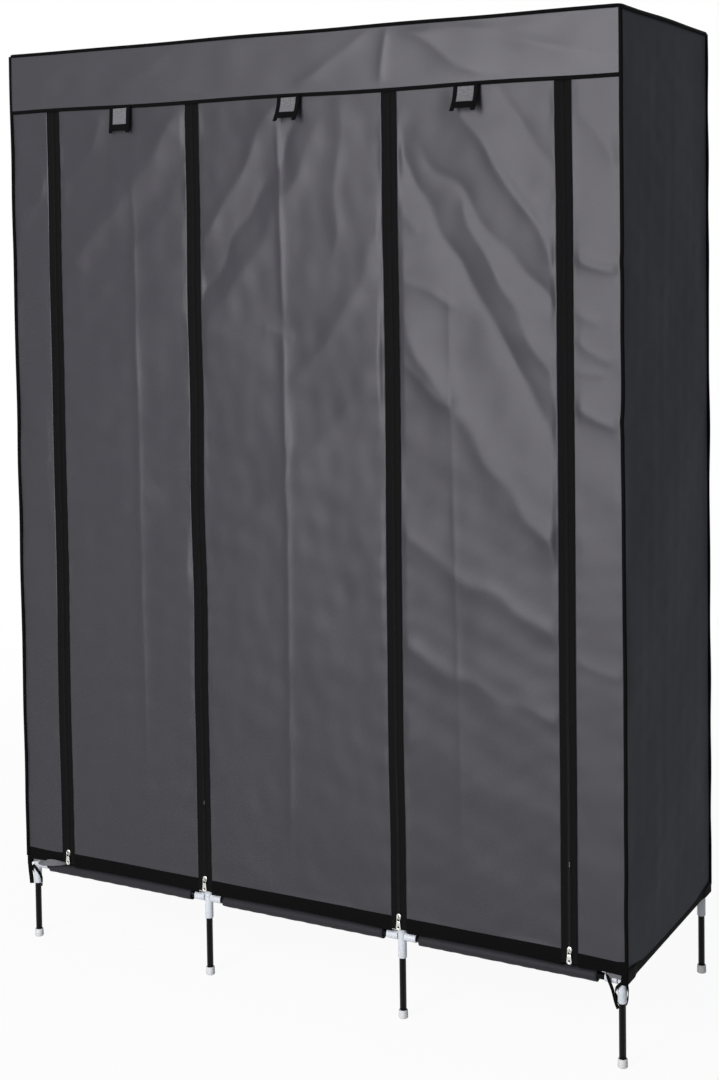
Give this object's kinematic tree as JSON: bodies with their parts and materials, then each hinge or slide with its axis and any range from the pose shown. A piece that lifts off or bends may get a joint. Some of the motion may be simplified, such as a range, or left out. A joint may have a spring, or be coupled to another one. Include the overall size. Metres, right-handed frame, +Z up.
{
  "type": "portable fabric wardrobe",
  "caption": "Free-standing portable wardrobe: a tube frame on capped legs under a sewn fabric cover, with roll-up zipped doors, fabric shelves and a hanging rail.",
  "frame": {"origin": "on the floor, under the middle of the frame's plan", "axes": "+Z up, -Y towards the doors at the front, +X to the right of someone who faces the doors"},
  "size_m": [1.2602, 0.4651, 1.75],
  "materials": {
    "tube_steel": "black powder coat, satin",
    "connector_plastic": "pale grey moulded plastic",
    "foot_plastic": "pale grey moulded plastic",
    "cover_cloth": "dark grey non-woven cloth",
    "side_cloth": "dark grey non-woven cloth",
    "shelf_cloth": "dark grey non-woven cloth",
    "binding_cloth": "black woven binding tape",
    "zip_metal": "nickel-plated zip hardware"
  },
  "bodies": {
    "root": {"foot_front_1": "foot_plastic", "foot_front_2": "foot_plastic", "foot_front_3": "foot_plastic", "foot_front_4": "foot_plastic", "foot_back_1": "foot_plastic", "foot_back_2": "foot_plastic", "foot_back_3": "foot_plastic", "foot_back_4": "foot_plastic", "upright_front_1": "tube_steel", "upright_front_2": "tube_steel", "upright_front_3": "tube_steel", "upright_front_4": "tube_steel", "upright_back_1": "tube_steel", "upright_back_2": "tube_steel", "upright_back_3": "tube_steel", "upright_back_4": "tube_steel", "connector_front_1": "connector_plastic", "connector_front_2": "connector_plastic", "connector_front_3": "connector_plastic", "connector_front_4": "connector_plastic", "bottom_front_rail_1": "tube_steel", "bottom_front_rail_2": "tube_steel", "bottom_front_rail_3": "tube_steel", "bottom_depth_rail_1": "tube_steel", "bottom_depth_rail_2": "tube_steel", "bottom_depth_rail_3": "tube_steel", "bottom_depth_rail_4": "tube_steel", "bottom_back_rail": "tube_steel", "top_front_rail": "tube_steel", "top_back_rail": "tube_steel", "top_depth_rail_1": "tube_steel", "top_depth_rail_2": "tube_steel", "top_depth_rail_3": "tube_steel", "top_depth_rail_4": "tube_steel", "mid_shelf_frame": "tube_steel", "hanging_rail": "tube_steel", "bottom_shelf": "shelf_cloth", "mid_shelf": "shelf_cloth", "cover_top": "cover_cloth", "cover_back": "cover_cloth", "cover_left_side": "side_cloth", "cover_right_side": "side_cloth", "front_valance": "cover_cloth"},
    "left_door_body": {"left_door": "cover_cloth", "left_door_hem": "binding_cloth"},
    "middle_door_body": {"middle_door": "cover_cloth", "middle_door_hem": "binding_cloth"},
    "right_door_body": {"right_door": "cover_cloth", "right_door_hem": "binding_cloth"},
    "left_tab_body": {"left_tie_tab": "binding_cloth"},
    "middle_tab_body": {"middle_tie_tab": "binding_cloth"},
    "right_tab_body": {"right_tie_tab": "binding_cloth"},
    "slider_1_body": {"zip_slider_1": "zip_metal"},
    "slider_2_body": {"zip_slider_2": "zip_metal"},
    "slider_3_body": {"zip_slider_3": "zip_metal"},
    "slider_4_body": {"zip_slider_4": "zip_metal"},
    "pull_1_body": {"zip_pull_1": "zip_metal"},
    "pull_2_body": {"zip_pull_2": "zip_metal"},
    "pull_3_body": {"zip_pull_3": "zip_metal"},
    "pull_4_body": {"zip_pull_4": "zip_metal"}
  },
  "joints": [
    {"name": "left_door_roll", "type": "slide", "parent": "root", "child": "left_door_body", "axis": [0, 0, 1], "range_m": [0, 1.38], "deforming": ["left_door"]},
    {"name": "middle_door_roll", "type": "slide", "parent": "root", "child": "middle_door_body", "axis": [0, 0, 1], "range_m": [0, 1.38], "deforming": ["middle_door"]},
    {"name": "right_door_roll", "type": "slide", "parent": "root", "child": "right_door_body", "axis": [0, 0, 1], "range_m": [0, 1.38], "deforming": ["right_door"]},
    {"name": "left_tab_swing", "type": "hinge", "parent": "root", "child": "left_tab_body", "pos_m": [-0.366, -0.2285, 1.637], "axis": [-1, 0, 0], "range_deg": [0, 110]},
    {"name": "middle_tab_swing", "type": "hinge", "parent": "root", "child": "middle_tab_body", "pos_m": [0, -0.2285, 1.637], "axis": [-1, 0, 0], "range_deg": [0, 110]},
    {"name": "right_tab_swing", "type": "hinge", "parent": "root", "child": "right_tab_body", "pos_m": [0.366, -0.2285, 1.637], "axis": [-1, 0, 0], "range_deg": [0, 110]},
    {"name": "zip_1_slide", "type": "slide", "parent": "root", "child": "slider_1_body", "axis": [0, 0, 1], "range_m": [0, 1.434]},
    {"name": "zip_2_slide", "type": "slide", "parent": "root", "child": "slider_2_body", "axis": [0, 0, 1], "range_m": [0, 1.434]},
    {"name": "zip_3_slide", "type": "slide", "parent": "root", "child": "slider_3_body", "axis": [0, 0, 1], "range_m": [0, 1.434]},
    {"name": "zip_4_slide", "type": "slide", "parent": "root", "child": "slider_4_body", "axis": [0, 0, 1], "range_m": [0, 1.434]},
    {"name": "pull_1_swing", "type": "hinge", "parent": "slider_1_body", "child": "pull_1_body", "pos_m": [-0.527, -0.22765, 0.1865], "axis": [-1, 0, 0], "range_deg": [0, 150]},
    {"name": "pull_2_swing", "type": "hinge", "parent": "slider_2_body", "child": "pull_2_body", "pos_m": [-0.205, -0.22765, 0.1865], "axis": [-1, 0, 0], "range_deg": [0, 150]},
    {"name": "pull_3_swing", "type": "hinge", "parent": "slider_3_body", "child": "pull_3_body", "pos_m": [0.205, -0.22765, 0.1865], "axis": [-1, 0, 0], "range_deg": [0, 150]},
    {"name": "pull_4_swing", "type": "hinge", "parent": "slider_4_body", "child": "pull_4_body", "pos_m": [0.527, -0.22765, 0.1865], "axis": [-1, 0, 0], "range_deg": [0, 150]}
  ]
}
